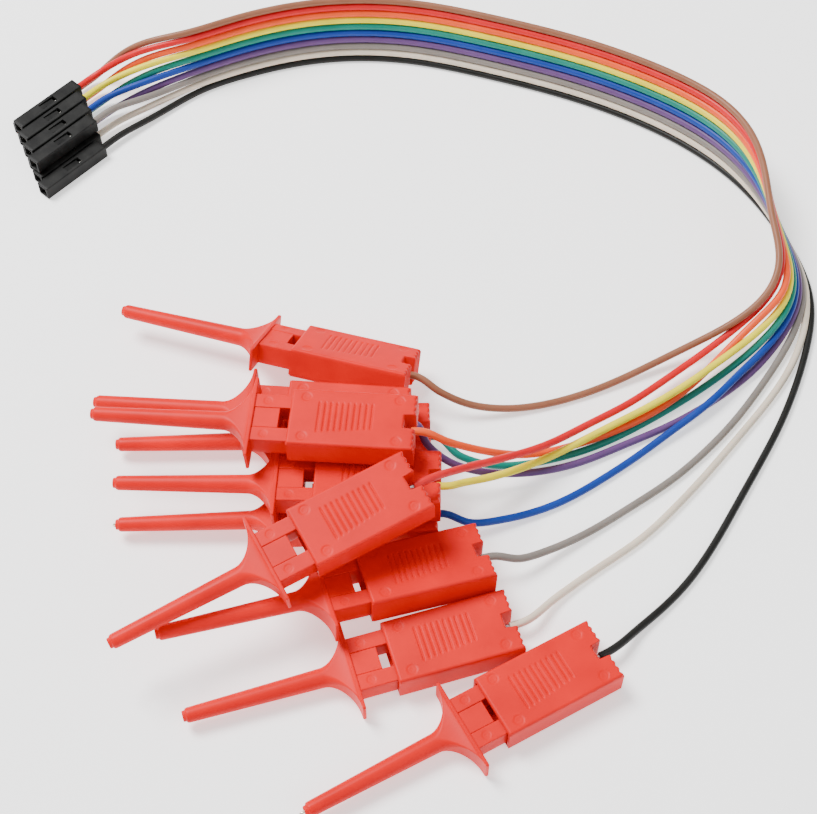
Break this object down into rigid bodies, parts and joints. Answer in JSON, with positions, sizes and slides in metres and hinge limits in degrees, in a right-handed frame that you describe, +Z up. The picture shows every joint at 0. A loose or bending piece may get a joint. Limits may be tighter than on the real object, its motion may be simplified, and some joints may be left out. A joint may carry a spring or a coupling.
{
  "type": "logic analyzer lead set",
  "caption": "Ribbon lead that splits into single leads, each from a pin socket housing to a sprung hook clip with a thumb sleeve and finger guard.",
  "frame": {"origin": "middle of the box of the ten clips, on the surface that the set lies on", "axes": "+Z up from the surface; +Y from the clips towards the sockets and the ribbon; +X to the side where the leads enter the clips"},
  "size_m": [0.1406, 0.1531, 0.0179],
  "materials": {
    "clip_plastic": "satin moulded red plastic",
    "socket_plastic": "satin black moulded plastic",
    "hook_metal": "plated sheet and wire",
    "spring_steel": "drawn spring wire",
    "insulation_black": "satin black PVC insulation",
    "insulation_white": "satin white PVC insulation",
    "insulation_grey": "satin grey PVC insulation",
    "insulation_purple": "satin purple PVC insulation",
    "insulation_blue": "satin blue PVC insulation",
    "insulation_green": "satin green PVC insulation",
    "insulation_yellow": "satin yellow PVC insulation",
    "insulation_orange": "satin orange PVC insulation",
    "insulation_red": "satin red PVC insulation",
    "insulation_brown": "satin brown PVC insulation"
  },
  "bodies": {
    "handles": {"thumb_sleeve_black": "clip_plastic", "hook_wire_black": "hook_metal", "return_spring_black": "spring_steel", "lead_black": "insulation_black", "socket_housing_black": "socket_plastic", "thumb_sleeve_white": "clip_plastic", "hook_wire_white": "hook_metal", "return_spring_white": "spring_steel", "lead_white": "insulation_white", "socket_housing_white": "socket_plastic", "thumb_sleeve_grey": "clip_plastic", "hook_wire_grey": "hook_metal", "return_spring_grey": "spring_steel", "lead_grey": "insulation_grey", "socket_housing_grey": "socket_plastic", "thumb_sleeve_purple": "clip_plastic", "hook_wire_purple": "hook_metal", "return_spring_purple": "spring_steel", "lead_purple": "insulation_purple", "socket_housing_purple": "socket_plastic", "thumb_sleeve_blue": "clip_plastic", "hook_wire_blue": "hook_metal", "return_spring_blue": "spring_steel", "lead_blue": "insulation_blue", "socket_housing_blue": "socket_plastic", "thumb_sleeve_green": "clip_plastic", "hook_wire_green": "hook_metal", "return_spring_green": "spring_steel", "lead_green": "insulation_green", "socket_housing_green": "socket_plastic", "thumb_sleeve_yellow": "clip_plastic", "hook_wire_yellow": "hook_metal", "return_spring_yellow": "spring_steel", "lead_yellow": "insulation_yellow", "socket_housing_yellow": "socket_plastic", "thumb_sleeve_orange": "clip_plastic", "hook_wire_orange": "hook_metal", "return_spring_orange": "spring_steel", "lead_orange": "insulation_orange", "socket_housing_orange": "socket_plastic", "thumb_sleeve_red": "clip_plastic", "hook_wire_red": "hook_metal", "return_spring_red": "spring_steel", "lead_red": "insulation_red", "socket_housing_red": "socket_plastic", "thumb_sleeve_brown": "clip_plastic", "hook_wire_brown": "hook_metal", "return_spring_brown": "spring_steel", "lead_brown": "insulation_brown", "socket_housing_brown": "socket_plastic"},
    "barrel_black": {"hook_barrel_black": "clip_plastic"},
    "barrel_white": {"hook_barrel_white": "clip_plastic"},
    "barrel_grey": {"hook_barrel_grey": "clip_plastic"},
    "barrel_purple": {"hook_barrel_purple": "clip_plastic"},
    "barrel_blue": {"hook_barrel_blue": "clip_plastic"},
    "barrel_green": {"hook_barrel_green": "clip_plastic"},
    "barrel_yellow": {"hook_barrel_yellow": "clip_plastic"},
    "barrel_orange": {"hook_barrel_orange": "clip_plastic"},
    "barrel_red": {"hook_barrel_red": "clip_plastic"},
    "barrel_brown": {"hook_barrel_brown": "clip_plastic"}
  },
  "joints": [
    {"name": "press_black", "type": "slide", "parent": "handles", "child": "barrel_black", "axis": [0.8746, 0.4848, 0], "range_m": [0, 0.003], "stiffness_N_per_m": 200, "springref_m": -0.005, "deforming": ["return_spring_black"]},
    {"name": "press_white", "type": "slide", "parent": "handles", "child": "barrel_white", "axis": [0.9573, 0.289, 0], "range_m": [0, 0.004], "stiffness_N_per_m": 200, "springref_m": -0.004, "deforming": ["return_spring_white"]},
    {"name": "press_grey", "type": "slide", "parent": "handles", "child": "barrel_grey", "axis": [0.9546, 0.2882, -0.075], "range_m": [0, 0.004], "stiffness_N_per_m": 200, "springref_m": -0.004, "deforming": ["return_spring_grey"]},
    {"name": "press_purple", "type": "slide", "parent": "handles", "child": "barrel_purple", "axis": [0.9948, -0.0975, 0.0297], "range_m": [0, 0.004], "stiffness_N_per_m": 200, "springref_m": -0.004, "deforming": ["return_spring_purple"]},
    {"name": "press_blue", "type": "slide", "parent": "handles", "child": "barrel_blue", "axis": [0.9994, 0.0262, 0.0227], "range_m": [0, 0.0034], "stiffness_N_per_m": 200, "springref_m": -0.0046, "deforming": ["return_spring_blue"]},
    {"name": "press_green", "type": "slide", "parent": "handles", "child": "barrel_green", "axis": [0.9996, 0.0297, 0], "range_m": [0, 0.004], "stiffness_N_per_m": 200, "springref_m": -0.004, "deforming": ["return_spring_green"]},
    {"name": "press_yellow", "type": "slide", "parent": "handles", "child": "barrel_yellow", "axis": [0.9994, -0.0262, 0.0244], "range_m": [0, 0.004], "stiffness_N_per_m": 200, "springref_m": -0.004, "deforming": ["return_spring_yellow"]},
    {"name": "press_orange", "type": "slide", "parent": "handles", "child": "barrel_orange", "axis": [0.9961, -0.0836, 0.0297], "range_m": [0, 0.004], "stiffness_N_per_m": 200, "springref_m": -0.004, "deforming": ["return_spring_orange"]},
    {"name": "press_red", "type": "slide", "parent": "handles", "child": "barrel_red", "axis": [0.8769, 0.4721, 0.0906], "range_m": [0, 0.004], "stiffness_N_per_m": 200, "springref_m": -0.004, "deforming": ["return_spring_red"]},
    {"name": "press_brown", "type": "slide", "parent": "handles", "child": "barrel_brown", "axis": [0.9606, -0.2773, 0.0192], "range_m": [0, 0.004], "stiffness_N_per_m": 200, "springref_m": -0.004, "deforming": ["return_spring_brown"]}
  ]
}
